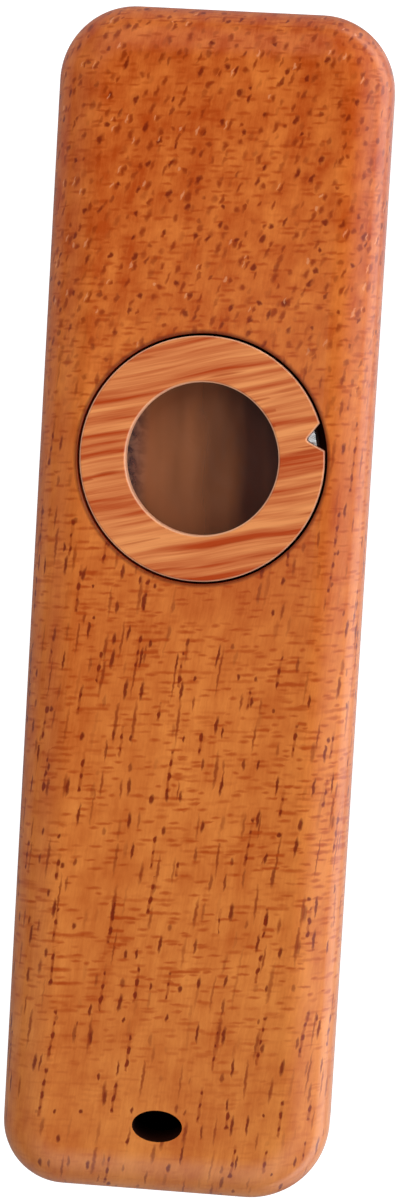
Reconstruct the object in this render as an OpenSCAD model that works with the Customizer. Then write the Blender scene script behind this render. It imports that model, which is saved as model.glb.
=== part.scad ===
// Flat pocket kazoo: a hollow block of oiled hardwood with a buzzing membrane under a lift-out cap ring.
// The block lies on its back face. X runs across it, +Y points to the mouth end, +Z out of the front face.
// The origin is the middle of the back face.

/* [Block] */
// Length of the block, from the mouth end to the closed end
body_l = 118; // [110:1:130]
// Width of the block
body_w = 33; // [31:0.5:38]
// Thickness of the block, both halves together
body_t = 14; // [13:0.5:17]
// Radius of the corner to the left of the mouth, seen from the front
mouth_left_r = 7.5; // [6:0.1:9]
// Radius of the corner to the right of the mouth
mouth_right_r = 7.4; // [6:0.1:9]
// Radius of the left corner of the closed end
closed_left_r = 6.4; // [6:0.1:9]
// Radius of the right corner of the closed end
closed_right_r = 8.1; // [6:0.1:9]
// Radius of the round-over along every outer edge
edge_r = 5; // [3:0.25:5.5]

/* [Air channel] */
// Width of the channel that is routed into both halves
channel_w = 14; // [12:0.5:15]
// Wood left between the channel and the front and back faces
face_wall = 4.5; // [4.2:0.1:5]
// Wood left between the channel and the closed end
end_wall = 4; // [3:0.25:6]
// Width of the bevel round the mouth opening
mouth_bevel = 0.6; // [0.2:0.1:0.9]

/* [Sound hole] */
// Width of the oval sound hole, across the block
sound_hole_w = 5; // [4.2:0.1:6]
// Height of the oval sound hole, along the block
sound_hole_h = 3.2; // [2.8:0.1:3.6]
// Radius of the oval's two narrow ends
sound_hole_end_r = 1.1; // [0.9:0.05:1.3]
// Length of channel left between the sound hole and the closed end's wall
sound_hole_from_wall = 2.1; // [0.3:0.1:3]
// How far the sound hole was drilled to the side of the centre line
sound_hole_shift = -0.55; // [-1:0.05:1]

/* [Membrane seat] */
// Distance from the mouth end to the middle of the seat
seat_from_mouth = 43.9; // [40:0.1:60]
// Diameter of the pocket that holds the cap ring
pocket_d = 24.6; // [24:0.1:27]

/* [Cap ring] */
// Thickness of the cap ring
cap_t = 2.7; // [2.2:0.1:3]
// Gap between the cap ring and the pocket wall
cap_gap = 0.3; // [0.15:0.05:0.4]
// Width of the wood between the window and the rim of the cap ring
ring_w = 4.5; // [4.2:0.1:6]
// Bevel along the upper edges of the cap ring and its notch
cap_bevel = 0.2; // [0.1:0.05:0.4]
// Depth of the fingernail notch in the rim of the cap ring
notch_depth = 1.55; // [1:0.05:2]
// Angle between the two sides of the notch
notch_angle = 80; // [60:1:100]
// Width of the small flat at the bottom of the notch
notch_flat_w = 0.35; // [0.2:0.05:0.6]
// How far the cap ring is turned in its pocket, from +X
cap_turn = 13.7; // [0:0.1:360]

/* [Keeper washer] */
// Wood left outside the washer at the rim of the cap ring
washer_wall = 0.7; // [0.5:0.05:1.2]
// Width of the washer, between its hole and its rim
washer_w = 3.5; // [3:0.1:3.7]
// Thickness of the washer
washer_t = 0.6; // [0.4:0.1:1]
// Glue gap between the washer's rim and the cap ring
washer_glue = 0.05; // [0.03:0.01:0.1]

/* [Membrane] */
// Gap between the film disc and the pocket wall
membrane_gap = 0.8; // [0.4:0.1:1.5]
// Thickness of the film
membrane_t = 0.06; // [0.05:0.01:0.12]

/* [Magnets] */
// Diameter of each disc magnet in the seat
magnet_d = 3; // [2:0.1:3]
// Thickness of each disc magnet
magnet_t = 1; // [0.8:0.1:1.2]
// Glue gap round each magnet
magnet_glue = 0.05; // [0.03:0.01:0.1]
// Wood left between each magnet and the pocket wall
magnet_edge = 0.9; // [0.5:0.1:1.5]
// Wood left between each magnet and the well
well_wall = 0.7; // [0.4:0.05:1.5]

/* [Hidden] */
$fn = 96;
// How far a cutter runs past the face that it cuts
overrun = 1;

// Heights above the back face
glue_z = body_t / 2;
channel_h = body_t - 2 * face_wall;
cap_z = body_t - cap_t;
seat_z = cap_z - membrane_t;

// Each corner of the block: the side it is on, the end it is on, and its radius
CORNERS = [
    [1, 1, mouth_right_r], [-1, 1, mouth_left_r],
    [-1, -1, closed_left_r], [1, -1, closed_right_r]
];
// Width of the straight rims between the corners, a little under the smallest corner radius
smallest_r = min(mouth_left_r, mouth_right_r, closed_left_r, closed_right_r);
rim_w = (edge_r + smallest_r) / 2;

// Places along the block
mouth_y = body_l / 2;
closed_y = -body_l / 2;
seat_y = mouth_y - seat_from_mouth;
sound_hole_y = closed_y + end_wall + sound_hole_from_wall + sound_hole_h / 2;

// Radii about the middle of the seat
pocket_r = pocket_d / 2;
magnet_circle_r = pocket_r - magnet_edge - magnet_d / 2;
well_r = magnet_circle_r - magnet_d / 2 - well_wall;
cap_r = pocket_r - cap_gap;
window_r = cap_r - ring_w;
washer_seat_r = cap_r - washer_wall;
washer_r = washer_seat_r - washer_glue;
membrane_r = pocket_r - membrane_gap;

// The magnets stand between the length and the width of the block, so that each has wood on all sides
MAGNET_ANGLES = [45, 135, 225, 315];

// Section of the block's rim, as wide as given, from the glue plane up to its outer face
module rim_section(width) {
    square([width - edge_r, glue_z]);
    square([width, glue_z - edge_r]);
    translate([width - edge_r, glue_z - edge_r])
        intersection() {
            circle(r = edge_r);
            square(edge_r);
        }
}

// One straight rim of the block, from one place to another along +Y, with its outer face towards +X
module straight_rim(start, end) {
    translate([0, end, 0])
        rotate([90, 0, 0])
            linear_extrude(height = end - start) rim_section(rim_w);
}

// Half of the block, from the glue plane at z = 0 up to its outer face, with every outer edge rounded over
module half_block() {
    half_w = body_w / 2;
    half_l = body_l / 2;
    linear_extrude(height = glue_z) block_core(half_w, half_l);
    translate([half_w - rim_w, 0, 0]) straight_rim(closed_right_r - half_l, half_l - mouth_right_r);
    rotate([0, 0, 90])
        translate([half_l - rim_w, 0, 0]) straight_rim(mouth_right_r - half_w, half_w - mouth_left_r);
    rotate([0, 0, 180])
        translate([half_w - rim_w, 0, 0]) straight_rim(mouth_left_r - half_l, half_l - closed_left_r);
    rotate([0, 0, 270])
        translate([half_l - rim_w, 0, 0]) straight_rim(closed_left_r - half_w, half_w - closed_right_r);
    for (i = [0:3])
        translate([CORNERS[i][0] * (half_w - CORNERS[i][2]), CORNERS[i][1] * (half_l - CORNERS[i][2]), 0])
            rotate([0, 0, 90 * i])
                rotate_extrude(angle = 90) rim_section(CORNERS[i][2]);
}

// What the rims and corners stand round: a rectangle with a square step for each corner
module block_core(half_w, half_l) {
    x = half_w - rim_w;
    y = half_l - rim_w;
    step = [for (corner = CORNERS) [corner[0] * (half_w - corner[2]), corner[1] * (half_l - corner[2])]];
    polygon([
        [x, step[0][1]], step[0], [step[0][0], y],
        [step[1][0], y], step[1], [-x, step[1][1]],
        [-x, step[2][1]], step[2], [step[2][0], -y],
        [step[3][0], -y], step[3], [x, step[3][1]]
    ]);
}

// Rounded slot, as wide and high as given, drawn about its middle
module slot_outline(width, height) {
    square([width - height, height], center = true);
    for (side = [-1, 1]) translate([side * (width - height) / 2, 0]) circle(d = height);
}

// The air channel with its round sides, from the closed end's wall out through the mouth end
module air_channel() {
    run = body_l - end_wall + overrun;
    translate([0, closed_y + end_wall + run, glue_z])
        rotate([90, 0, 0])
            linear_extrude(height = run) slot_outline(channel_w, channel_h);
}

// The bevel round the mouth opening: a cone at each end of the slot and a wedge between them
module mouth_bevel_cut() {
    slot_r = channel_h / 2;
    centre_x = channel_w / 2 - slot_r;
    outer_r = slot_r + mouth_bevel;
    translate([0, mouth_y - mouth_bevel, glue_z]) rotate([-90, 0, 0]) {
        for (side = [-1, 1])
            translate([side * centre_x, 0, 0]) cylinder(h = mouth_bevel, r1 = slot_r, r2 = outer_r);
        rotate([90, 0, 90])
            translate([0, 0, -centre_x])
                linear_extrude(height = 2 * centre_x)
                    polygon([
                        [-slot_r, 0], [slot_r, 0], [outer_r, mouth_bevel], [-outer_r, mouth_bevel]
                    ]);
    }
}

// Oval of four arcs: two narrow ends, and two wide sides that meet them without a corner
module oval_outline(width, height, end_r) {
    end_x = width / 2 - end_r;
    side_r = (end_x * end_x + height * height / 4 - end_r * end_r) / (height - 2 * end_r);
    side_y = side_r - height / 2;
    meet_x = end_x * side_r / (side_r - end_r);
    intersection() {
        translate([0, side_y]) circle(r = side_r);
        translate([0, -side_y]) circle(r = side_r);
        square([2 * meet_x, height], center = true);
    }
    for (side = [-1, 1]) translate([side * end_x, 0]) circle(r = end_r);
}

module sound_hole() {
    translate([sound_hole_shift, sound_hole_y, glue_z])
        linear_extrude(height = glue_z + overrun)
            oval_outline(sound_hole_w, sound_hole_h, sound_hole_end_r);
}

// Moves its children to one magnet's place, on the floor of that magnet's hole
module at_magnet(index) {
    translate([0, seat_y, seat_z - magnet_t])
        rotate([0, 0, MAGNET_ANGLES[index]])
            translate([magnet_circle_r, 0, 0]) children();
}

// The pocket for the cap ring, the well below it and the blind holes for the magnets
module membrane_seat() {
    translate([0, seat_y, seat_z]) cylinder(h = body_t - seat_z + overrun, r = pocket_r);
    translate([0, seat_y, glue_z]) cylinder(h = seat_z - glue_z + overrun, r = well_r);
    for (index = [0 : len(MAGNET_ANGLES) - 1])
        at_magnet(index) cylinder(h = magnet_t + overrun, r = magnet_d / 2 + magnet_glue);
}

module body_front() {
    color("#C8702F")
        difference() {
            translate([0, 0, glue_z]) half_block();
            air_channel();
            mouth_bevel_cut();
            sound_hole();
            membrane_seat();
        }
}

module body_back() {
    color("#BF6A2D")
        difference() {
            translate([0, 0, glue_z]) mirror([0, 0, 1]) half_block();
            air_channel();
            mouth_bevel_cut();
        }
}

// One side of the notch: a long bar with a bevel along its upper edge, facing the way it is turned
module notch_side(turn) {
    reach = 3 * (notch_depth + overrun);
    bevel_h = cap_bevel + overrun;
    bevel_z = cap_t - cap_bevel;
    rotate([90, 0, turn])
        linear_extrude(height = 2 * reach, center = true)
            polygon([
                [-reach, -overrun], [0, -overrun], [0, bevel_z],
                [bevel_h, bevel_z + bevel_h], [-reach, bevel_z + bevel_h]
            ]);
}

// The V notch in the rim of the cap ring: what its two flanks and its bottom have in common
module notch_cut() {
    flank_turn = 90 + notch_angle / 2;
    translate([cap_r - notch_depth, 0, 0])
        intersection() {
            translate([0, notch_flat_w / 2, 0]) notch_side(flank_turn);
            translate([0, -notch_flat_w / 2, 0]) notch_side(-flank_turn);
            notch_side(180);
        }
}

// Section of the cap ring, with the washer's seat open to the window below
module cap_section() {
    polygon([
        [washer_seat_r, 0], [cap_r, 0], [cap_r, cap_t - cap_bevel], [cap_r - cap_bevel, cap_t],
        [window_r + cap_bevel, cap_t], [window_r, cap_t - cap_bevel], [window_r, washer_t],
        [washer_seat_r, washer_t]
    ]);
}

module cap_ring() {
    color("#D98A4E")
        translate([0, seat_y, cap_z])
            rotate([0, 0, cap_turn])
                difference() {
                    rotate_extrude() cap_section();
                    notch_cut();
                }
}

module keeper_washer() {
    color("#C9CBCF")
        translate([0, seat_y, cap_z])
            difference() {
                cylinder(h = washer_t, r = washer_r);
                translate([0, 0, -overrun]) cylinder(h = washer_t + 2 * overrun, r = washer_r - washer_w);
            }
}

module membrane() {
    color("#8A6A55")
        translate([0, seat_y, seat_z]) cylinder(h = membrane_t, r = membrane_r);
}

module seat_magnet(index) {
    color("#D4D6DA") at_magnet(index) cylinder(h = magnet_t, d = magnet_d);
}

body_front();
body_back();
cap_ring();
keeper_washer();
membrane();
seat_magnet(0);  // seat_magnet_1
seat_magnet(1);  // seat_magnet_2
seat_magnet(2);  // seat_magnet_3
seat_magnet(3);  // seat_magnet_4
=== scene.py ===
import math

import bpy
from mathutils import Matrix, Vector


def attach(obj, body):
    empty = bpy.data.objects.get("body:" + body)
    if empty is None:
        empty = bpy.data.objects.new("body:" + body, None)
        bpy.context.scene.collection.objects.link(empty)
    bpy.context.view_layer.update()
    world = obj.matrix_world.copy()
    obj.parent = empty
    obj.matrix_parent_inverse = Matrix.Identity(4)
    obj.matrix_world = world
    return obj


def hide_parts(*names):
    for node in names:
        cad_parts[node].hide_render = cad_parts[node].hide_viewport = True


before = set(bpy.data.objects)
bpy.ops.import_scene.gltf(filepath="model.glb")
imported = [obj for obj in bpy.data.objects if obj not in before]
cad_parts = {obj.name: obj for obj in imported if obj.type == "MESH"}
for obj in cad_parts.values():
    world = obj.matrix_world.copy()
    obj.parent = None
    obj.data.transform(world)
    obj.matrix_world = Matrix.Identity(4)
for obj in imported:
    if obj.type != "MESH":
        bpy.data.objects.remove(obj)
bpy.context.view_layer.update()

MM = 0.001
# How far a cutter runs past the face that it cuts
OVER = 1 * MM

# Block
BODY_L, BODY_W, BODY_T = 118 * MM, 33 * MM, 14 * MM
GLUE_Z = BODY_T / 2
EDGE_R = 5 * MM
# From the right corner of the mouth end round by the left to the right corner of the closed end
CORNER_RADII = [7.4 * MM, 7.5 * MM, 6.4 * MM, 8.1 * MM]
CORNER_STEPS, ROUND_STEPS = 24, 16
# A narrow strip on each flat keeps its shading flat up to the round-over
STRIP = 0.05 * MM
CHANNEL_W, CHANNEL_H = 14 * MM, 5 * MM
CHANNEL_START, CHANNEL_END = -55 * MM, BODY_L / 2 + OVER
MOUTH_BEVEL = 0.6 * MM

# Seat, and what lies in it
SEAT_Y, SEAT_Z = 15.1 * MM, 11.24 * MM
POCKET_R, POCKET_EASE = 12.26 * MM, 0.12 * MM
WELL_R, WELL_EASE = 7.7 * MM, 0.1 * MM
CAP_R, CAP_Z, CAP_TOP, CAP_EASE = 12 * MM, 11.3 * MM, 14 * MM, 0.18 * MM
CAP_TURN = math.radians(13.7)
WINDOW_R = 7.5 * MM
NOTCH_APEX, NOTCH_REACH = 10.44 * MM, 3 * MM
NOTCH_HALF, NOTCH_TIP_R = math.radians(40), 0.3 * MM
WASHER_SEAT_R, WASHER_R, WASHER_HOLE_R = 11.3 * MM, 11.25 * MM, 7.75 * MM
WASHER_T, WASHER_EASE = 0.6 * MM, 0.1 * MM
MAGNET_R, MAGNET_T, MAGNET_EASE, MAGNET_GLUE = 1.5 * MM, 1 * MM, 0.1 * MM, 0.05 * MM
MAGNET_CIRCLE_R = 9.9 * MM
# A hair thinner than in the CAD, so that it clears the washer that lies on it
FILM_R, FILM_T = 11.5 * MM, 0.05 * MM
# Its wrinkles start this far inside the well and are at their full height at this radius
FOLD_START, FOLD_FULL_R = 0.5 * MM, 4 * MM
FOLD_HEIGHT, FOLDS_PER_M = 0.12 * MM, 420.0

# Sound hole, and the share by which its cutter widens from the start of the eased edge
HOLE_X, HOLE_Y = -0.55 * MM, -51.3 * MM
HOLE_W, HOLE_H = 5 * MM, 3.2 * MM
HOLE_EASE, HOLE_FLARE = 0.1 * MM, 1.05

# Kinds of node
MATH, VECTOR_MATH = "ShaderNodeMath", "ShaderNodeVectorMath"
SPLIT, JOIN = "ShaderNodeSeparateXYZ", "ShaderNodeCombineXYZ"
SPLIT_COLOUR, NOISE = "ShaderNodeSeparateColor", "ShaderNodeTexNoise"
SWITCH, POSITION = "GeometryNodeIndexSwitch", "GeometryNodeSetPosition"


# ---- Nodes ----

def srgb(colour):
    """A hex colour as linear red, green, blue and alpha."""
    levels = [int(colour[i:i + 2], 16) / 255 for i in (1, 3, 5)]
    return [v / 12.92 if v <= 0.04045 else ((v + 0.055) / 1.055) ** 2.4 for v in levels] + [1]


def add(tree, name, kind, wires=(), items=2, **settings):
    """Adds a named node, and gives an index switch its number of items.

    A wire is a value or the name of an earlier node, with .Output where it isn't its first.
    """
    node = tree.nodes.new(kind)
    node.name = node.label = name
    for setting, value in settings.items():
        setattr(node, setting, value)
    for _ in range(items - 2):
        node.index_switch_items.new()
    ready = [s for s in node.inputs if s.enabled]
    pairs = wires.items() if isinstance(wires, dict) else enumerate(wires)
    for key, value in pairs:
        socket = ready[key] if isinstance(key, int) else next(s for s in ready if s.name == key)
        for one in reversed(value) if socket.is_multi_input else [value]:
            if isinstance(one, str):
                source, _, output = one.partition(".")
                outputs = [s for s in tree.nodes[source].outputs if s.enabled]
                one = next(s for s in outputs if s.name == output) if output else outputs[0]
                tree.links.new(one, socket)
            else:
                socket.default_value = one


def sums(tree, kind, *steps):
    """Sums of one kind, each given as its name, what it does, and its values."""
    for name, operation, *values in steps:
        add(tree, name, kind, values, operation=operation)


def ramp(tree, name, value, start, end, low=0.0, high=1.0, **settings):
    """Runs from low to high while a value runs from start to end, and stays level outside."""
    add(tree, name, "ShaderNodeMapRange", {
        "Value": value, "From Min": start, "From Max": end, "To Min": low, "To Max": high,
    }, **settings)


def mix(tree, name, share, under, over, **settings):
    """Lays one colour over another, each a hex colour or the name of an earlier node."""
    under, over = (srgb(c) if c.startswith("#") else c for c in (under, over))
    add(tree, name, "ShaderNodeMix", {"Factor": share, "A": under, "B": over},
        data_type="RGBA", **settings)


# ---- Shapes ----

def sized_tree(name, sizes):
    """A Geometry Nodes tree with a named input for each size."""
    tree = bpy.data.node_groups.new(name, "GeometryNodeTree")
    tree.interface.new_socket("Geometry", in_out="OUTPUT", socket_type="NodeSocketGeometry")
    for size in sizes:
        tree.interface.new_socket(size, in_out="INPUT", socket_type="NodeSocketFloat")
    add(tree, "sizes", "NodeGroupInput")
    return tree


def made(tree, solid, sizes, material, keeps=None, crease=30):
    """Ends a tree, runs it, and keeps what it makes as a plain mesh at the origin.

    Edges that bend by more degrees than the crease stay sharp. Faces that already have the
    material named by keeps are not given the piece's own.
    """
    add(tree, "edge", "GeometryNodeInputMeshEdgeAngle")
    add(tree, "gentle", "FunctionNodeCompare", {"A": "edge", "B": math.radians(crease)},
        data_type="FLOAT", operation="LESS_THAN")
    for name, shape, smooth, domain in (
        ("smooth", solid, True, "FACE"), ("creased", "smooth", "gentle", "EDGE"),
    ):
        add(tree, name, "GeometryNodeSetShadeSmooth", {"Geometry": shape, "Shade Smooth": smooth},
            domain=domain)
    add(tree, "realized", "GeometryNodeRealizeInstances", ["creased"])
    add(tree, "finish", "GeometryNodeSetMaterial", {"Geometry": "realized", "Material": material})
    if keeps:
        add(tree, "kept", "GeometryNodeMaterialSelection", {"Material": keeps})
        add(tree, "other", "FunctionNodeBooleanMath", ["kept"], operation="NOT")
        tree.links.new(tree.nodes["other"].outputs[0], tree.nodes["finish"].inputs["Selection"])
    add(tree, "out", "NodeGroupOutput", ["finish"])
    maker = bpy.data.objects.new("maker", bpy.data.meshes.new("maker"))
    bpy.context.scene.collection.objects.link(maker)
    modifier = maker.modifiers.new("shape", "NODES")
    modifier.node_group = tree
    for socket in tree.interface.items_tree:
        if socket.in_out == "INPUT":
            modifier[socket.identifier] = sizes[socket.name]
    depsgraph = bpy.context.evaluated_depsgraph_get()
    mesh = bpy.data.meshes.new_from_object(maker.evaluated_get(depsgraph), depsgraph=depsgraph)
    bpy.data.objects.remove(maker)
    mesh.name = tree.name
    piece = bpy.data.objects.new(tree.name, mesh)
    bpy.context.scene.collection.objects.link(piece)
    return piece


def unit_cylinder(tree, name, sides, rows):
    """A cylinder of radius 1, from -1 to 1, whose points are then given other places."""
    add(tree, name + " blank", "GeometryNodeMeshCylinder",
        {"Vertices": sides, "Side Segments": rows, "Radius": 1.0, "Depth": 2.0})
    add(tree, name + " place", "GeometryNodeInputPosition")
    add(tree, name + " split", SPLIT, [name + " place"])


def turned(tree, name, profile, sides=128):
    """A solid turned about +Z, from a profile of named radii and heights, lowest first."""
    rows = len(profile) - 1
    unit_cylinder(tree, name, sides, rows)
    # The quarter keeps a row's number from being rounded down to the row below
    sums(tree, MATH, (name + " row", "MULTIPLY_ADD", name + " split.Z", rows / 2, rows / 2 + 0.25))
    for column, part in enumerate((" radius", " height")):
        sizes = {str(i): "sizes." + point[column] for i, point in enumerate(profile)}
        add(tree, name + part, SWITCH, {"Index": name + " row", **sizes},
            items=len(profile), data_type="FLOAT")
    sums(tree, VECTOR_MATH,
         (name + " flat", "MULTIPLY", name + " place", (1, 1, 0)),
         (name + " reach", "SCALE", name + " flat", name + " radius"))
    add(tree, name + " lift", JOIN, {"Z": name + " height"})
    sums(tree, VECTOR_MATH, (name + " spot", "ADD", name + " reach", name + " lift"))
    add(tree, name, POSITION, {"Geometry": name + " blank", "Position": name + " spot"})


def placed(tree, name, shape, at=(0, 0, 0), turn=(0, 0, 0), scale=(1, 1, 1)):
    """A shape that is moved, turned and stretched."""
    add(tree, name, "GeometryNodeTransform", {
        "Geometry": shape, "Translation": at, "Rotation": turn, "Scale": scale})


def cut(tree, name, blank, tools):
    """A blank with the shapes of its tools cut away."""
    add(tree, name, "GeometryNodeMeshBoolean", {"Mesh 1": blank, "Mesh 2": tools},
        operation="DIFFERENCE", solver="EXACT")


def four_copies(tree, prefix, shape, at=(0, 0, 0)):
    """Four copies of a shape, spread round the magnets' circle."""
    add(tree, prefix + "places", "GeometryNodeMeshCircle",
        {"Vertices": 4, "Radius": "sizes.Magnet Circle"})
    placed(tree, prefix + "square", prefix + "places", at, turn=(0, 0, math.pi / 4))
    add(tree, prefix + "copies", "GeometryNodeInstanceOnPoints",
        {"Points": prefix + "square", "Instance": shape})


def slot_tool(tree, name, profile):
    """A cutter with round sides, as wide as the channel, along +Y at the glue plane's height."""
    turned(tree, name + " round", profile, sides=66)
    sums(tree, MATH,
         (name + " side", "SIGN", name + " round split.X"),
         (name + " apart", "MULTIPLY", name + " side", "sizes.Slot Centre"))
    add(tree, name + " shift", JOIN, {"X": name + " apart"})
    # Moves the two half rounds apart, so that flats join them
    add(tree, name + " wide", POSITION, {"Geometry": name + " round", "Offset": name + " shift"})
    placed(tree, name, name + " wide", at=(0, 0, GLUE_Z), turn=(-math.pi / 2, 0, 0))


def rounded_half(tree):
    """Half of the block: a cylinder's points laid onto the outline and its round-over."""
    columns, rows = 4 * (CORNER_STEPS + 1), ROUND_STEPS + 3
    unit_cylinder(tree, "half", columns, rows)
    sums(
        tree, MATH,
        # Row, counted from the glue plane outwards
        ("row raw", "MULTIPLY", "half split.Z", rows / 2),
        ("row faced", "MULTIPLY", "row raw", "sizes.Facing"),
        ("row loose", "ADD", "row faced", rows / 2),
        ("row", "ROUND", "row loose"),
        # Column, counted from +X round to the left, and the corner that it belongs to
        ("angle", "ARCTAN2", "half split.Y", "half split.X"),
        ("column raw", "MULTIPLY", "angle", columns / math.tau),
        ("column whole", "ROUND", "column raw"),
        ("column", "FLOORED_MODULO", "column whole", columns),
        ("corner raw", "DIVIDE", "column", CORNER_STEPS + 1),
        ("corner", "FLOOR", "corner raw"),
        ("corner first", "MULTIPLY", "corner", CORNER_STEPS + 1),
        ("step", "SUBTRACT", "column", "corner first"),
        ("share", "DIVIDE", "step", CORNER_STEPS),
        ("quarters", "ADD", "corner", "share"),
        ("turn", "MULTIPLY", "quarters", math.pi / 2),
        ("middle quarters", "ADD", "corner", 0.5),
        ("middle turn", "MULTIPLY", "middle quarters", math.pi / 2),
        ("corner index", "ADD", "corner", 0.25),
    )
    radii = {str(i): f"sizes.Corner {i + 1}" for i in range(4)}
    add(tree, "corner radius", SWITCH, {"Index": "corner index", **radii},
        items=4, data_type="FLOAT")
    sums(
        tree, MATH,
        # Round-over: how far in from the outline, and how far out from the glue plane
        ("round row", "SUBTRACT", "row", 2.0),
        ("round share", "DIVIDE", "round row", ROUND_STEPS),
        ("round part", "MINIMUM", "round share", 1.0),
        ("round clamped", "MAXIMUM", "round part", 0.0),
        ("round angle", "MULTIPLY", "round clamped", math.pi / 2),
        ("round cos", "COSINE", "round angle"),
        ("round sin", "SINE", "round angle"),
        ("round rest", "SUBTRACT", 1.0, "round cos"),
        ("round inset", "MULTIPLY", "round rest", "sizes.Edge Radius"),
        ("last row", "GREATER_THAN", "row", ROUND_STEPS + 2.5),
        ("inset", "MULTIPLY_ADD", "last row", STRIP, "round inset"),
        ("wall", "SUBTRACT", "sizes.Half Thickness", "sizes.Edge Radius"),
        ("wall short", "SUBTRACT", "wall", STRIP),
        ("off glue", "GREATER_THAN", "row", 0.5),
        ("on wall", "GREATER_THAN", "row", 1.5),
        ("wall height", "MULTIPLY", "off glue", "wall short"),
        ("wall top", "MULTIPLY_ADD", "on wall", STRIP, "wall height"),
        ("height", "MULTIPLY_ADD", "round sin", "sizes.Edge Radius", "wall top"),
        ("z", "MULTIPLY_ADD", "height", "sizes.Facing", "sizes.Half Thickness"),
        ("radius left", "SUBTRACT", "corner radius", "inset"),
    )
    for axis, size, wave in (("x", "Width", "COSINE"), ("y", "Length", "SINE")):
        sums(
            tree, MATH,
            (axis + " middle", wave, "middle turn"),
            (axis + " side", "SIGN", axis + " middle"),
            (axis + " half", "MULTIPLY", "sizes." + size, 0.5),
            (axis + " core", "SUBTRACT", axis + " half", "corner radius"),
            (axis + " centre", "MULTIPLY", axis + " side", axis + " core"),
            (axis + " wave", wave, "turn"),
            (axis, "MULTIPLY_ADD", axis + " wave", "radius left", axis + " centre"),
        )
    add(tree, "half spot", JOIN, ["x", "y", "z"])
    add(tree, "half", POSITION, {"Geometry": "half blank", "Position": "half spot"})


def block_half(name, facing, polished, routed):
    """One half of the block, with everything that is routed and drilled into it.

    The front half faces 1 and the back half -1.
    """
    sizes = {
        "Length": BODY_L, "Width": BODY_W, "Half Thickness": GLUE_Z, "Edge Radius": EDGE_R,
        "Facing": facing, **{f"Corner {i + 1}": radius for i, radius in enumerate(CORNER_RADII)},
        "Slot Radius": CHANNEL_H / 2, "Slot Centre": (CHANNEL_W - CHANNEL_H) / 2,
        "Channel Start": CHANNEL_START, "Channel End": CHANNEL_END,
        "Bevel Start": BODY_L / 2 - MOUTH_BEVEL,
        "Bevel Radius": CHANNEL_H / 2 + MOUTH_BEVEL + OVER,
        "Glue": GLUE_Z, "Above": BODY_T + OVER, "Seat": SEAT_Z, "Above Seat": SEAT_Z + OVER,
        "Pocket Radius": POCKET_R, "Pocket Ease": BODY_T - POCKET_EASE,
        "Pocket Mouth": POCKET_R + POCKET_EASE + OVER,
        "Well Radius": WELL_R, "Well Ease": SEAT_Z - WELL_EASE,
        "Well Mouth": WELL_R + WELL_EASE + OVER,
        "Magnet Hole": MAGNET_R + MAGNET_GLUE, "Magnet Floor": SEAT_Z - MAGNET_T,
        "Magnet Circle": MAGNET_CIRCLE_R,
        "Hole": 1.0, "Hole Ease": BODY_T - HOLE_EASE, "Hole Mouth": HOLE_FLARE,
    }
    tree = sized_tree(name, sizes)
    rounded_half(tree)
    slot_tool(tree, "channel", [("Slot Radius", "Channel Start"), ("Slot Radius", "Channel End")])
    slot_tool(tree, "bevel", [("Slot Radius", "Bevel Start"), ("Bevel Radius", "Channel End")])
    tools, eases = ["channel"], ["bevel"]
    if facing > 0:
        turned(tree, "pocket", [("Pocket Radius", "Seat"), ("Pocket Radius", "Above")], sides=192)
        turned(tree, "rim", [("Pocket Radius", "Pocket Ease"), ("Pocket Mouth", "Above")],
               sides=192)
        turned(tree, "well", [
            ("Well Radius", "Glue"), ("Well Radius", "Well Ease"), ("Well Mouth", "Above Seat")])
        turned(tree, "magnet hole", [
            ("Magnet Hole", "Magnet Floor"), ("Magnet Hole", "Above Seat")], sides=48)
        four_copies(tree, "magnet ", "magnet hole")
        add(tree, "magnet holes", "GeometryNodeRealizeInstances", ["magnet copies"])
        for tool in ("pocket", "rim", "well", "magnet holes"):
            placed(tree, tool + " placed", tool, at=(0, SEAT_Y, 0))
        turned(tree, "oval", [("Hole", "Glue"), ("Hole", "Above")], sides=96)
        turned(tree, "oval rim", [("Hole", "Hole Ease"), ("Hole Mouth", "Above")], sides=96)
        for tool in ("oval", "oval rim"):
            placed(tree, tool + " placed", tool, at=(HOLE_X, HOLE_Y, 0),
                   scale=(HOLE_W / 2, HOLE_H / 2, 1))
        tools += ["pocket placed", "well placed", "magnet holes placed", "oval placed"]
        eases += ["rim placed", "oval rim placed"]
    for tool in tools:
        add(tree, tool + " raw", "GeometryNodeSetMaterial", {"Geometry": tool, "Material": routed})
    cut(tree, "routed", "half", [tool + " raw" for tool in tools] + eases)
    return made(tree, "routed", sizes, polished, keeps=routed)


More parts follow.
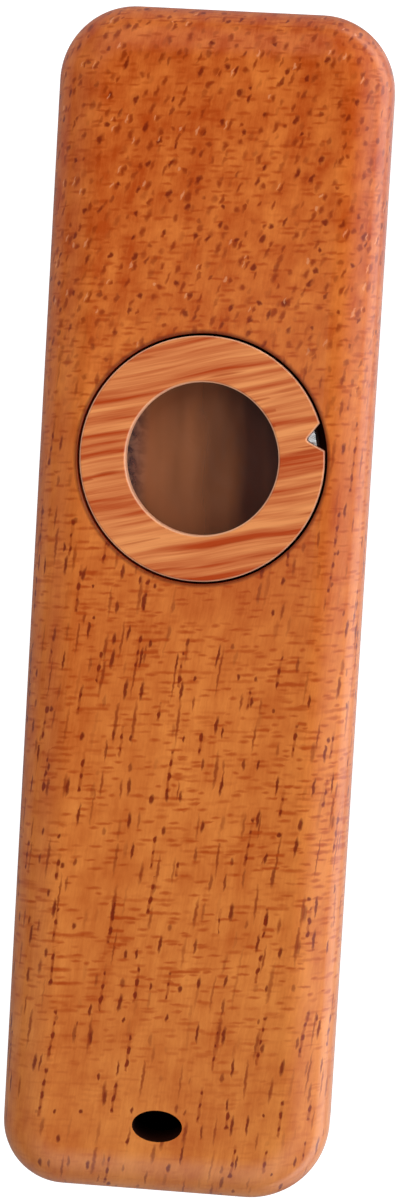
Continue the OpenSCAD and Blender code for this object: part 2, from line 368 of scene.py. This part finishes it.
def cap_piece(name, wood):
    """The cap ring: turned with eased edges, bored, recessed for the washer, and notched."""
    widening = NOTCH_REACH * math.sin(NOTCH_HALF)
    sizes = {
        "Rim": CAP_R, "Rim Top": CAP_R - CAP_EASE,
        "Bottom": CAP_Z, "Ease": CAP_TOP - CAP_EASE, "Top": CAP_TOP,
        "Below": CAP_Z - OVER, "Above": CAP_TOP + OVER,
        "Window": WINDOW_R, "Window Mouth": WINDOW_R + CAP_EASE + OVER,
        "Recess": WASHER_SEAT_R, "Recess Top": CAP_Z + WASHER_T,
        "Tip": NOTCH_TIP_R, "Tip Mouth": NOTCH_TIP_R + CAP_EASE + OVER,
        "Far": NOTCH_TIP_R + widening, "Far Mouth": NOTCH_TIP_R + CAP_EASE + OVER + widening,
    }
    tree = sized_tree(name, sizes)
    turned(tree, "ring", [("Rim", "Bottom"), ("Rim", "Ease"), ("Rim Top", "Top")], sides=192)
    turned(tree, "window", [("Window", "Below"), ("Window", "Ease"), ("Window Mouth", "Above")],
           sides=160)
    turned(tree, "recess", [("Recess", "Below"), ("Recess", "Recess Top")], sides=160)
    # Two discs under one hull make a V with a round tip, and again, wider, for its eased edge
    for tool, tip, far, low in (
        ("notch", "Tip", "Far", "Below"), ("notch ease", "Tip Mouth", "Far Mouth", "Ease"),
    ):
        turned(tree, tool + " tip", [("Tip", low), (tip, "Above")], sides=32)
        turned(tree, tool + " far", [("Far", low), (far, "Above")], sides=32)
        placed(tree, tool + " far placed", tool + " far", at=(NOTCH_REACH, 0, 0))
        add(tree, tool + " both", "GeometryNodeJoinGeometry",
            [[tool + " tip", tool + " far placed"]])
        add(tree, tool + " hull", "GeometryNodeConvexHull", [tool + " both"])
        placed(tree, tool, tool + " hull", at=(NOTCH_APEX + NOTCH_TIP_R, 0, 0))
    cut(tree, "cut", "ring", ["window", "recess", "notch", "notch ease"])
    placed(tree, "in place", "cut", at=(0, SEAT_Y, 0), turn=(0, 0, CAP_TURN))
    return made(tree, "in place", sizes, wood)


def washer_piece(name, steel):
    """The keeper washer: stamped, so its lower edges are rolled and its upper ones sharp."""
    sizes = {
        "Rim": WASHER_R, "Rim Low": WASHER_R - WASHER_EASE,
        "Bottom": CAP_Z, "Roll": CAP_Z + WASHER_EASE, "Top": CAP_Z + WASHER_T,
        "Below": CAP_Z - OVER, "Above": CAP_Z + WASHER_T + OVER,
        "Hole": WASHER_HOLE_R, "Hole Low": WASHER_HOLE_R + WASHER_EASE + OVER,
    }
    tree = sized_tree(name, sizes)
    turned(tree, "disc", [("Rim Low", "Bottom"), ("Rim", "Roll"), ("Rim", "Top")], sides=160)
    turned(tree, "hole", [("Hole Low", "Below"), ("Hole", "Roll"), ("Hole", "Above")])
    cut(tree, "stamped", "disc", ["hole"])
    placed(tree, "in place", "stamped", at=(0, SEAT_Y, 0))
    return made(tree, "in place", sizes, steel)


def magnet_piece(name, nickel):
    """The four disc magnets in the floor of the pocket."""
    sizes = {
        "Edge": MAGNET_R - MAGNET_EASE, "Rim": MAGNET_R,
        "Bottom": SEAT_Z - MAGNET_T, "Low": SEAT_Z - MAGNET_T + MAGNET_EASE,
        "High": SEAT_Z - MAGNET_EASE, "Top": SEAT_Z, "Magnet Circle": MAGNET_CIRCLE_R,
    }
    tree = sized_tree(name, sizes)
    turned(tree, "disc", [
        ("Edge", "Bottom"), ("Rim", "Low"), ("Rim", "High"), ("Edge", "Top")], sides=64)
    four_copies(tree, "", "disc", at=(0, SEAT_Y, 0))
    return made(tree, "copies", sizes, nickel)


def film_piece(name, film):
    """The film disc: flat where the washer holds it, and faintly wrinkled across the well."""
    sizes = {"Radius": FILM_R, "Thickness": FILM_T, "Free Radius": WELL_R - FOLD_START}
    tree = sized_tree(name, sizes)
    add(tree, "disc", "GeometryNodeMeshCylinder", {
        "Vertices": 144, "Side Segments": 1, "Fill Segments": 46,
        "Radius": "sizes.Radius", "Depth": "sizes.Thickness"}, fill_type="TRIANGLE_FAN")
    add(tree, "place", "GeometryNodeInputPosition")
    sums(tree, VECTOR_MATH,
         ("flat", "MULTIPLY", "place", (1, 1, 0)),
         ("from middle", "LENGTH", "flat"))
    ramp(tree, "free", "from middle.Value", "sizes.Free Radius", FOLD_FULL_R,
         interpolation_type="SMOOTHSTEP")
    add(tree, "folds", NOISE,
        {"Vector": "flat", "Scale": FOLDS_PER_M, "Detail": 2.0, "Distortion": 0.8})
    sums(tree, MATH,
         ("fold height", "ADD", "folds", -0.5),
         ("held height", "MULTIPLY", "fold height", "free"),
         ("rise", "MULTIPLY", "held height", FOLD_HEIGHT))
    add(tree, "shift", JOIN, {"Z": "rise"})
    add(tree, "wrinkled", POSITION, {"Geometry": "disc", "Offset": "shift"})
    placed(tree, "in place", "wrinkled", at=(0, SEAT_Y, SEAT_Z + FILM_T / 2))
    return made(tree, "in place", sizes, film, crease=60)


# ---- Materials, in which all places and sizes are in millimetres ----

def new_material(name):
    """An empty material, with places in millimetres to draw patterns by."""
    material = bpy.data.materials.new(name)
    material.use_nodes = True
    tree = material.node_tree
    tree.nodes.clear()
    add(tree, "place", "ShaderNodeTexCoord")
    sums(tree, VECTOR_MATH, ("mm", "SCALE", "place.Object", 1000.0))
    return material, tree


def shade(tree, wires):
    """Ends a material with its surface."""
    add(tree, "surface", "ShaderNodeBsdfPrincipled", wires)
    add(tree, "output", "ShaderNodeOutputMaterial", {"Surface": "surface"})


def stretched_noise(tree, name, place, per_mm, detail):
    """Noise drawn out along some axes, with so many spots to the millimetre along each."""
    sums(tree, VECTOR_MATH, (name + " place", "MULTIPLY", place, per_mm))
    add(tree, name, NOISE, {
        "Vector": name + " place", "Scale": 1.0, "Detail": detail, "Roughness": 0.6})


def scattered(tree, name, place, cell, keep):
    """Cells of a size, each round a point of its own, and how far a place is from that point."""
    sums(tree, VECTOR_MATH,
         (name + " place", "MULTIPLY", place, (1 / cell[0], 1 / cell[1], 0)))
    add(tree, name + " cells", "ShaderNodeTexVoronoi",
        {"Vector": name + " place", "Scale": 1.0, "Randomness": keep}, voronoi_dimensions="2D")
    sums(tree, VECTOR_MATH,
         (name + " off", "SUBTRACT", name + " place", name + " cells.Position"))
    add(tree, name + " luck", SPLIT_COLOUR, [name + " cells.Color"])


def peel(tree):
    """The block's skin laid flat, so that marks on it keep their shape on the round-over."""
    edge, wall = EDGE_R / MM, (GLUE_Z - EDGE_R) / MM
    core = (BODY_W / 2 / MM - CORNER_RADII[0] / MM, BODY_L / 2 / MM - CORNER_RADII[0] / MM)
    add(tree, "split", SPLIT, ["mm"])
    sums(tree, MATH,
         ("up", "SUBTRACT", "split.Z", GLUE_Z / MM),
         ("off glue", "ABSOLUTE", "up"))
    ramp(tree, "tilt cosine", "off glue", wall, wall + edge)
    sums(tree, MATH,
         ("tilt", "ARCCOSINE", "tilt cosine"),
         ("tilt sine", "SINE", "tilt"),
         ("arc gain", "SUBTRACT", "tilt", "tilt sine"),
         ("down wall", "SUBTRACT", wall, "off glue"),
         ("on wall", "MAXIMUM", "down wall", 0.0),
         ("gain", "MULTIPLY_ADD", "arc gain", edge, "on wall"),
         ("behind", "LESS_THAN", "up", 0.0))
    sums(tree, VECTOR_MATH,
         ("plan", "MULTIPLY", "mm", (1, 1, 0)),
         ("plan low", "MINIMUM", "plan", (*core, 0)),
         ("plan core", "MAXIMUM", "plan low", (-core[0], -core[1], 0)),
         ("past core", "SUBTRACT", "plan", "plan core"),
         ("outwards", "NORMALIZE", "past core"),
         ("gained", "SCALE", "outwards", "gain"),
         # The back half is another piece of wood, so it reads its grain elsewhere
         ("elsewhere", "SCALE", (137, 61, 0), "behind"),
         ("laid flat", "ADD", "plan", "gained"),
         ("skin", "ADD", "laid flat", "elsewhere"))


def marks(tree, name, place, cell, wide, long, share, soft=0.5, keep=0.8):
    """Scattered strokes of random sizes, one to a cell at most: 1 inside a stroke, 0 outside."""
    scattered(tree, name, place, cell, keep)
    for part, colour, (small, large), size in (
        (" width", "Red", wide, cell[0]), (" length", "Green", long, cell[1]),
    ):
        ramp(tree, name + part, f"{name} luck.{colour}", 0.0, 1.0,
             small / 2 / size, large / 2 / size)
    add(tree, name + " size", JOIN, [name + " width", name + " length", 1.0])
    sums(tree, VECTOR_MATH,
         (name + " sized", "DIVIDE", name + " off", name + " size"),
         (name + " far", "LENGTH", name + " sized"))
    ramp(tree, name + " shape", name + " far.Value", 1 + soft / 2, 1 - soft / 2)
    # Some are dark and the rest fainter
    ramp(tree, name + " picked", name + " luck.Blue", share, share * 0.4)
    sums(tree, MATH, (name, "MULTIPLY", name + " shape", name + " picked"))


def ladders(tree):
    """Strings of pores with ripple marks that run out from them to the right, 1.3 mm apart."""
    wide, tall, rung, string_left = 4.2, 6.4, 1.3, 1.2
    scattered(tree, "ladder", "grain", (wide, tall), keep=0.75)
    sums(tree, VECTOR_MATH, ("ladder mm", "MULTIPLY", "ladder off", (wide, tall, 0)))
    add(tree, "ladder split", SPLIT, ["ladder mm"])
    ramp(tree, "reach", "ladder luck.Red", 0.0, 1.0, 0.7, 2.7)
    sums(tree, MATH,
         ("from string", "ADD", "ladder split.X", string_left),
         ("beside", "ABSOLUTE", "from string"),
         ("along", "ABSOLUTE", "ladder split.Y"),
         ("to end", "SUBTRACT", "reach", "along"),
         ("phase", "MULTIPLY_ADD", "ladder split.Y", 1 / rung, "ladder luck.Green"),
         ("count", "FLOOR", "phase"),
         ("within", "FRACT", "phase"),
         ("off middle", "SUBTRACT", "within", 0.5),
         ("off rung", "MULTIPLY", "off middle", rung),
         ("rung away", "ABSOLUTE", "off rung"),
         ("is ladder", "LESS_THAN", "ladder luck.Blue", 0.72),
         ("lower", "DIVIDE", "ladder split.Y", "reach"))
    ramp(tree, "inside", "to end", -0.1, 0.15)
    # Each rung draws its own luck from its number and its ladder's place
    sums(tree, VECTOR_MATH, ("rung seed", "SCALE", "ladder cells.Position", 7.3))
    add(tree, "rung seeds", JOIN, {"Z": "count"})
    sums(tree, VECTOR_MATH, ("rung place", "ADD", "rung seed", "rung seeds"))
    add(tree, "rung noise", "ShaderNodeTexWhiteNoise", {"Vector": "rung place"},
        noise_dimensions="3D")
    add(tree, "rung luck", SPLIT_COLOUR, ["rung noise.Color"])
    # The string's thin red-brown line, darker towards its lower end
    ramp(tree, "line", "beside", 0.19, 0.07)
    ramp(tree, "line tone", "lower", 1.0, -1.0, 0.25, 0.75)
    # Its dots, up to 0.4 mm wide and 0.9 mm long
    ramp(tree, "dot size", "rung luck.Red", 0.0, 1.0, 0.45, 1.15)
    add(tree, "dot away", JOIN, ["from string", "off rung", 0.0])
    sums(tree, VECTOR_MATH,
         ("dot flat", "MULTIPLY", "dot away", (1 / 0.19, 1 / 0.38, 0)),
         ("dot far", "LENGTH", "dot flat"))
    sums(tree, MATH, ("dot inside", "SUBTRACT", "dot size", "dot far.Value"))
    ramp(tree, "dot shape", "dot inside", -0.2, 0.3)
    # The ripple marks, about 0.3 mm thick and up to 3.2 mm long
    ramp(tree, "rung length", "rung luck.Green", 0.0, 1.0, -0.6, 3.2)
    ramp(tree, "rung thin", "rung away", 0.24, 0.08)
    sums(tree, MATH,
         ("rung rest", "SUBTRACT", "rung length", "from string"),
         ("rung start", "ADD", "from string", 0.15),
         ("rung nearer", "MINIMUM", "rung rest", "rung start"),
         ("rung to end", "ADD", "to end", 0.7))
    ramp(tree, "rung ends", "rung nearer", 0.0, 0.25)
    ramp(tree, "rung inside", "rung to end", 0.0, 0.2)
    sums(tree, MATH,
         ("line seen", "MULTIPLY", "line", "inside"),
         ("line here", "MULTIPLY", "line seen", "is ladder"),
         ("string", "MULTIPLY", "line here", "line tone"),
         ("dot seen", "MULTIPLY", "dot shape", "inside"),
         ("dot", "MULTIPLY", "dot seen", "is ladder"),
         ("rung whole", "MULTIPLY", "rung thin", "rung ends"),
         ("rung seen", "MULTIPLY", "rung whole", "rung inside"),
         ("rung", "MULTIPLY", "rung seen", "is ladder"))


def wandering_grain(tree):
    """The grain's own directions on the skin, a little unsteady, and where it dives."""
    # The grain leans 5.6 degrees, the ripple marks 3.4 degrees, and both wander a little
    add(tree, "wander", NOISE, {"Vector": "skin", "Scale": 0.05, "Detail": 2.0})
    sums(tree, VECTOR_MATH,
         ("wandered", "MULTIPLY_ADD", "wander.Color", (1.6, 1.0, 0), "skin"),
         ("grain across", "DOT_PRODUCT", "wandered", (1, -0.098, 0)),
         ("grain along", "DOT_PRODUCT", "wandered", (-0.059, 1, 0)))
    add(tree, "straight", JOIN, ["grain across.Value", "grain along.Value", 0.0])
    # A fine unevenness makes the outlines of the marks ragged
    add(tree, "fray", NOISE, {"Vector": "skin", "Scale": 1.7, "Detail": 1.0})
    sums(tree, VECTOR_MATH,
         ("frayed", "ADD", "fray.Color", (-0.5, -0.5, -0.5)),
         ("grain", "MULTIPLY_ADD", "frayed", (0.3, 0.22, 0), "straight"))
    # Towards the mouth the grain dives and its strokes lean 22 degrees
    ramp(tree, "dive", "split.Y", 17.0, 30.0)
    sums(tree, MATH, ("level", "SUBTRACT", 1.0, "dive"))
    add(tree, "leant", "ShaderNodeVectorRotate", {"Vector": "skin", "Angle": math.radians(22)},
        rotation_type="Z_AXIS")
    sums(tree, VECTOR_MATH,
         ("strokes lean", "MULTIPLY_ADD", "frayed", (0.5, 0.5, 0), "leant"))


def polished_mahogany():
    """Reddish hardwood, sanded and polished: open dark pores and ripple marks, softly glossy."""
    material, tree = new_material("polished_mahogany")
    peel(tree)
    wandering_grain(tree)

    # Tone: broad clouds, blotches of 3 mm where the grain dives, streaks and fine fibres
    for name, per_mm, detail in (
        ("clouds", (0.08, 0.035, 0), 2.0), ("blotches", (0.42, 0.3, 0), 4.0),
        ("streaks", (0.5, 0.02, 0), 3.0), ("fibres", (4.0, 0.3, 0), 3.0),
    ):
        stretched_noise(tree, name, "grain", per_mm, detail)
    ramp(tree, "redder", "split.Y", -40.0, 45.0, -0.92, -1.24)
    sums(tree, MATH,
         ("blotchy", "MULTIPLY_ADD", "dive", 0.6, 1.0),
         ("tone one", "MULTIPLY_ADD", "blotches", "blotchy", "redder"),
         ("tone two", "MULTIPLY_ADD", "clouds", 1.1, "tone one"),
         ("tone three", "MULTIPLY_ADD", "streaks", 0.55, "tone two"),
         ("tone four", "MULTIPLY_ADD", "fibres", 0.45, "tone three"),
         ("blotch lift", "MULTIPLY_ADD", "dive", -0.22, -0.37),
         ("tone five", "ADD", "tone four", "blotch lift"))
    ramp(tree, "tone", "tone five", -0.34, 0.66)
    mix(tree, "wood", "tone", "#B84F12", "#EC9346")
    # It reddens towards the mouth
    ramp(tree, "ruddy", "split.Y", -50.0, 50.0)
    mix(tree, "ruddy wood", "ruddy", "wood", "#FFEAD9", blend_type="MULTIPLY")

    ladders(tree)
    # Marks: the cell that holds one, the smallest and largest width and length, the share of
    # the cells that hold one, and how soft its edge is
    for name, place, cell, wide, long, share, soft in (
        ("dashes", "grain", (2.6, 0.95), (0.8, 2.8), (0.22, 0.4), 0.56, 1.0),
        ("faint dashes", "grain", (1.5, 0.6), (0.5, 1.5), (0.2, 0.36), 0.62, 1.0),
        ("lines", "grain", (2.1, 4.4), (0.16, 0.36), (1.0, 4.0), 0.6, 0.9),
        ("pores", "grain", (1.9, 3.1), (0.22, 0.4), (0.35, 2.0), 0.7, 0.7),
        ("strokes", "strokes lean", (1.25, 1.6), (0.24, 0.52), (0.4, 1.2), 1.0, 0.9),
        ("spots", "strokes lean", (2.1, 2.3), (0.26, 0.5), (0.35, 0.95), 0.9, 0.8),
    ):
        marks(tree, name, place, cell, wide, long, share, soft)
    # Painted highlights: pale glints beside some of the strokes, painted into the colour where
    # their walls would catch the light
    sums(tree, VECTOR_MATH,
         ("glint off", "ADD", "strokes sized", (2.1, 0.25, 0)),
         ("glint slim", "MULTIPLY", "glint off", (1.9, 1.1, 0)),
         ("glint far", "LENGTH", "glint slim"))
    ramp(tree, "glint shape", "glint far.Value", 1.2, 0.7)
    sums(tree, MATH, ("glint picked", "LESS_THAN", "strokes luck.Blue", 0.14))
    # Ripple marks come in patches, and fade out towards the pocket and the closed end
    add(tree, "patches", NOISE, {"Vector": "grain", "Scale": 0.11, "Detail": 1.0})
    ramp(tree, "patch", "patches", 0.4, 0.58, 0.1)
    ramp(tree, "off pocket", "split.Y", 12.0, -4.0, 0.35)
    ramp(tree, "off end", "split.Y", -50.0, -36.0, 0.25)
    # Painted shade: a dark line round the pocket, where the gap by the cap lies in shadow
    sums(tree, VECTOR_MATH, ("from seat", "DISTANCE", "plan", (0, SEAT_Y / MM, 0)))
    ramp(tree, "pocket line", "from seat.Value", POCKET_R / MM + 0.4, POCKET_R / MM + 0.1)
    sums(tree, MATH,
         ("glint", "MULTIPLY", "glint shape", "glint picked"),
         ("zone", "MULTIPLY", "off pocket", "off end"),
         ("rippled", "MULTIPLY", "patch", "zone"),
         ("dashes patched", "MULTIPLY", "dashes", "rippled"),
         ("rung patched", "MULTIPLY", "rung", "rippled"),
         ("on front", "SUBTRACT", 1.0, "behind"))
    last = "ruddy wood"
    for name, mark, colour, strength, where in (
        ("faintly dashed", "faint dashes", "#B04208", 0.7, "off end"),
        ("dashed", "dashes patched", "#B24406", 0.7, None),
        ("lined", "lines", "#8A2E06", 0.75, "level"),
        ("rung marked", "rung patched", "#B04206", 0.8, "level"),
        ("stringed", "string", "#983404", 0.9, "level"),
        ("pored", "pores", "#7A2204", 0.9, "level"),
        ("dotted", "dot", "#822604", 0.92, "level"),
        ("stroked", "strokes", "#943204", 0.85, "dive"),
        ("spotted", "spots", "#7C2204", 0.9, "dive"),
        ("glinting", "glint", "#F0A878", 0.42, "dive"),
        ("painted pocket shaded", "pocket line", "#5C1604", 0.75, "on front"),
    ):
        if where:
            sums(tree, MATH, (name + " where", "MULTIPLY", mark, where))
            mark = name + " where"
        sums(tree, MATH, (name + " share", "MULTIPLY", mark, strength))
        mix(tree, name, name + " share", last, colour)
        last = name

    # Pores, dots and spots are hollow
    sums(tree, MATH,
         ("hollow", "ADD", "pored where", "dotted where"),
         ("hollows", "ADD", "hollow", "spotted where"),
         ("height", "MULTIPLY", "hollows", -1.0))
    add(tree, "bump", "ShaderNodeBump", {"Strength": 0.4, "Distance": 0.0001, "Height": "height"})
    shade(tree, {
        "Base Color": last, "Roughness": 0.6, "IOR": 1.5, "Specular IOR Level": 0.02,
        "Normal": "bump", "Coat Weight": 1.0, "Coat Roughness": 0.24, "Coat IOR": 1.5})
    return material


def mahogany_in_painted_shade():
    """The same wood, painted nearly black as shade in the routed hollows: dull, with some fibre
    showing.
    """
    material, tree = new_material("mahogany_in_painted_shade")
    sums(tree, VECTOR_MATH, ("fibre place", "MULTIPLY", "mm", (3.0, 0.15, 3.0)))
    add(tree, "fibres", NOISE, {
        "Vector": "fibre place", "Scale": 1.0, "Detail": 4.0, "Roughness": 0.7})
    # Painted shade: the routed faces are nearly black, as if in shadow
    mix(tree, "wood", "fibres", "#160804", "#34140A")
    # The wall of the pocket shows in the gap round the cap, and keeps a red-brown near the wood's
    # own colour instead of the painted shade
    add(tree, "split", SPLIT, ["mm"])
    sums(tree, VECTOR_MATH,
         ("plan", "MULTIPLY", "mm", (1, 1, 0)),
         ("from seat", "DISTANCE", "plan", (0, SEAT_Y / MM, 0)))
    sums(tree, MATH,
         ("near", "LESS_THAN", "from seat.Value", POCKET_R / MM + 0.2),
         ("high", "GREATER_THAN", "split.Z", SEAT_Z / MM + 0.1),
         ("pocket wall", "MULTIPLY", "near", "high"))
    mix(tree, "browned", "pocket wall", "wood", "#C04A16")
    add(tree, "bump", "ShaderNodeBump",
        {"Strength": 0.5, "Distance": 0.00008, "Height": "fibres"})
    shade(tree, {
        "Base Color": "browned", "Roughness": 0.85, "IOR": 1.5, "Specular IOR Level": 0.2,
        "Normal": "bump"})
    return material


def striped_cap_wood():
    """Wood cut on the quarter: straight tan and red-brown stripes, and paler sanded edges."""
    material, tree = new_material("striped_cap_wood")
    add(tree, "turned", "ShaderNodeMapping", {"Vector": "mm", "Rotation": (0, 0, -CAP_TURN)},
        vector_type="POINT")
    add(tree, "sway", NOISE, {"Vector": "turned", "Scale": 0.09, "Detail": 1.0})
    sums(tree, VECTOR_MATH, ("swayed", "MULTIPLY_ADD", "sway.Color", (0, 0.9, 0), "turned"))
    # Bands of 2 mm and lines of 0.4 mm
    stretched_noise(tree, "bands", "swayed", (0.02, 0.42, 0.42), 3.0)
    stretched_noise(tree, "lines", "swayed", (0.06, 1.5, 1.5), 3.0)
    sums(tree, MATH, ("lines half", "MULTIPLY_ADD", "lines", 1.0, "bands"))
    ramp(tree, "tone", "lines half", 0.78, 1.2)
    mix(tree, "wood", "tone", "#B74418", "#EE9A5D")
    marks(tree, "dark lines", "swayed", (6.0, 1.6), (2.0, 6.5), (0.16, 0.34), 0.55, soft=0.9)
    sums(tree, MATH, ("dark share", "MULTIPLY", "dark lines", 0.65))
    mix(tree, "lined", "dark share", "wood", "#AA380A")
    add(tree, "split", SPLIT, ["mm"])
    top = CAP_TOP / MM
    ramp(tree, "edge", "split.Z", top - 0.02, top - 0.12, high=0.6)
    mix(tree, "sanded", "edge", "lined", "#F0C4A4")
    shade(tree, {
        "Base Color": "sanded", "Roughness": 0.6, "IOR": 1.5, "Specular IOR Level": 0.02,
        "Coat Weight": 0.3, "Coat Roughness": 0.25, "Coat IOR": 1.5})
    return material


def zinc_plated_steel():
    """Stamped mild steel with bright zinc: pale grey, fine rolling lines, some gloss."""
    material, tree = new_material("zinc_plated_steel")
    sums(tree, VECTOR_MATH, ("line place", "MULTIPLY", "mm", (0.6, 9.0, 0.6)))
    add(tree, "lines", NOISE, {"Vector": "line place", "Scale": 1.0, "Detail": 3.0})
    ramp(tree, "dull", "lines", 0.3, 0.7, 0.18, 0.28)
    mix(tree, "tint", "lines", "#DCDEE0", "#EEF0F0")
    shade(tree, {"Base Color": "tint", "Metallic": 1.0, "Roughness": "dull"})
    return material


def nickel_plate():
    """Plated magnets: warm bright nickel, with faint handling haze."""
    material, tree = new_material("nickel_plate")
    add(tree, "haze", NOISE, {"Vector": "mm", "Scale": 1.4, "Detail": 3.0})
    ramp(tree, "dull", "haze", 0.3, 0.7, 0.12, 0.26)
    mix(tree, "tint", "haze", "#C9C4BA", "#DCD8D0")
    shade(tree, {"Base Color": "tint", "Metallic": 1.0, "Roughness": "dull"})
    return material


def smoky_film():
    """Thin smoke-brown polyester film, see-through, with soft streaks, painted shadow on its right
    and painted reflections at its pinched left edge.
    """
    material, tree = new_material("smoky_film")
    sums(tree, VECTOR_MATH, ("streak place", "MULTIPLY", "mm", (0.3, 0.07, 0.3)))
    add(tree, "streaks", NOISE, {"Vector": "streak place", "Scale": 1.0, "Detail": 2.0})
    add(tree, "split", SPLIT, ["mm"])
    # Painted shadow: darker towards the right, where the ring's wall shades the film
    ramp(tree, "painted wall shadow", "split.X", -6.0, 7.0, 0.4, -0.4)
    sums(tree, MATH, ("tone sum", "MULTIPLY_ADD", "streaks", 0.9, "painted wall shadow"))
    ramp(tree, "tone", "tone sum", 0.1, 0.95)
    mix(tree, "tint", "tone", "#4A281E", "#A66844")
    # Painted reflections: the crinkles where it is pinched, at the left, are painted bluish and
    # pinkish as if they mirrored light
    add(tree, "crinkles", NOISE, {"Vector": "mm", "Scale": 1.1, "Detail": 2.0, "Distortion": 0.5})
    ramp(tree, "crinkle tone", "crinkles", 0.4, 0.6)
    mix(tree, "painted crinkle reflections", "crinkle tone", "#4C404C", "#A07A6C")
    ramp(tree, "pinched", "split.X", -5.4, -7.2, high=0.75)
    mix(tree, "colour", "pinched", "tint", "painted crinkle reflections")
    shade(tree, {
        "Base Color": "colour", "Roughness": 0.2, "IOR": 1.58, "Specular IOR Level": 0.1,
        "Alpha": 0.75})
    return material


def backdrop_paper():
    """Pale paper that glows in the picture only, so that it looks white with a faint shadow."""
    material, tree = new_material("backdrop_paper")
    add(tree, "grain", NOISE, {"Vector": "mm", "Scale": 0.5, "Detail": 2.0})
    mix(tree, "tint", "grain", "#A4A4A4", "#ACACAC")
    add(tree, "ray", "ShaderNodeLightPath")
    sums(tree, MATH, ("glow", "MULTIPLY", "ray.Is Camera Ray", 0.92))
    shade(tree, {
        "Base Color": "tint", "Roughness": 0.9,
        "Emission Color": (1, 1, 1, 1), "Emission Strength": "glow"})
    return material


# ---- Pieces ----

# The routed faces of the block wear the painted shade
polished, routed = polished_mahogany(), mahogany_in_painted_shade()
front = block_half("block_front", 1.0, polished, routed)
back = block_half("block_back", -1.0, polished, routed)
cap = cap_piece("turned_cap_ring", striped_cap_wood())
washer = washer_piece("stamped_washer", zinc_plated_steel())
magnets = magnet_piece("disc_magnets", nickel_plate())
film = film_piece("film_disc", smoky_film())

for piece, body, slot, stands_for in (
    (front, "block", "body_wood", ["body_front"]),
    (back, "block", "body_wood", ["body_back"]),
    (magnets, "block", "magnet_nickel", [f"seat_magnet_{i}" for i in range(1, 5)]),
    (film, "film", "membrane_film", ["membrane"]),
    (washer, "washer", "washer_steel", ["keeper_washer"]),
    (cap, "cap", "cap_wood", ["cap_ring"]),
):
    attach(piece, body)
    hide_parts(*stands_for)


# ---- Studio ----

def lamp(name, place, aim, size, power, lights):
    """A soft box, aimed at a point, that lights only what is diffuse or only what is glossy."""
    light = bpy.data.lights.new(name, "AREA")
    light.shape = "RECTANGLE"
    light.size, light.size_y = size
    light.energy = power
    holder = bpy.data.objects.new(name, light)
    holder.location = place
    holder.visible_camera = False
    holder.visible_diffuse = lights == "diffuse"
    holder.visible_glossy = lights == "glossy"
    direction = [b - a for a, b in zip(place, aim)]
    holder.rotation_euler = Vector(direction).to_track_quat("-Z", "Y").to_euler()
    bpy.context.scene.collection.objects.link(holder)


# Paper out to 3 m on each side, a hair below the block so that the two don't touch
REACH, HAIR = 3.0, 0.00002
floor_mesh = bpy.data.meshes.new("floor")
floor_mesh.from_pydata(
    [(-REACH, -REACH, 0), (REACH, -REACH, 0), (REACH, REACH, 0), (-REACH, REACH, 0)],
    [], [(0, 1, 2, 3)])
floor = bpy.data.objects.new("floor", floor_mesh)
floor.location.z = -HAIR
floor_mesh.materials.append(backdrop_paper())
bpy.context.scene.collection.objects.link(floor)

# A pale dome, brighter on the window side. It is dark overhead, which is what the front face
# mirrors to the camera, so that no haze lies on the wood
world = bpy.data.worlds.new("studio")
bpy.context.scene.world = world
world.use_nodes = True
dome = world.node_tree
dome.nodes.clear()
add(dome, "direction", "ShaderNodeTexCoord")
add(dome, "split", SPLIT, ["direction.Generated"])
ramp(dome, "open sky", "split.Z", 0.0, 1.0, 0.2, 1.75)
sums(dome, MATH, ("overhead", "MULTIPLY_ADD", "split.Y", 0.35, "split.Z"))
ramp(dome, "unblocked", "overhead", 0.9, 0.5, 0.01)
sums(dome, VECTOR_MATH, ("windowward", "DOT_PRODUCT", "direction.Generated", (0.85, -0.5, 0)))
ramp(dome, "window side", "windowward.Value", -0.4, 0.5, 0.3, 1.2)
sums(dome, MATH,
     ("lit sky", "MULTIPLY", "open sky", "window side"),
     ("sky", "MULTIPLY", "lit sky", "unblocked"))
add(dome, "ray", "ShaderNodeLightPath")
sums(dome, MATH, ("seen", "MAXIMUM", "sky", "ray.Is Camera Ray"))
add(dome, "background", "ShaderNodeBackground", {"Color": (1, 1, 1, 1), "Strength": "seen"})
add(dome, "output", "ShaderNodeOutputWorld", {"Surface": "background"})

for name, place, aim, size, power, lights in (
    ("key_right", (0.52, 0.0, 0.11), (0, 0, 0.01), (0.7, 0.18), 1.25, "diffuse"),
    ("key_mouth", (0.45, 0.13, 0.12), (0, 0.04, 0.01), (0.24, 0.2), 0.45, "diffuse"),
    # Light boards flat on the table: they gloss the round-over on the right, and the front
    # face can't mirror them, as they lie below it
    ("board_right", (0.068, 0.0, 0.001), (0.068, 0.0, 1), (0.1, 0.2), 0.032, "glossy"),
    ("board_far", (0.265, 0.0, 0.002), (0.265, 0.0, 1), (0.47, 0.4), 1.0, "glossy"),
    ("fill", (-0.2, 0.6, 0.6), (0, 0, 0), (0.8, 0.8), 5.4, "diffuse"),
    # A small bright spot overhead, that only the metal in the notch mirrors to the camera
    ("catch_light", (-0.003, 0.011, 0.6), (-0.003, 0.0111, 0), (0.05, 0.05), 0.022, "glossy"),
):
    lamp(name, place, aim, size, power, lights)

# The photo was taken from 0.28 m, a little right of the block's middle and nearer its mouth end
camera = bpy.data.objects.new("camera", bpy.data.cameras.new("camera"))
camera.data.sensor_fit = "VERTICAL"
camera.data.sensor_width = camera.data.sensor_height = 36
camera.data.lens = 81
camera.location = (18.655 * MM, 21.062 * MM, 276.94 * MM)
camera.rotation_euler = [math.radians(a) for a in (-4.042, 4.161, 3.369)]
camera.data.clip_start, camera.data.clip_end = 0.01, 20
bpy.context.scene.collection.objects.link(camera)
bpy.context.scene.camera = camera
bpy.context.scene.view_settings.view_transform = "Standard"
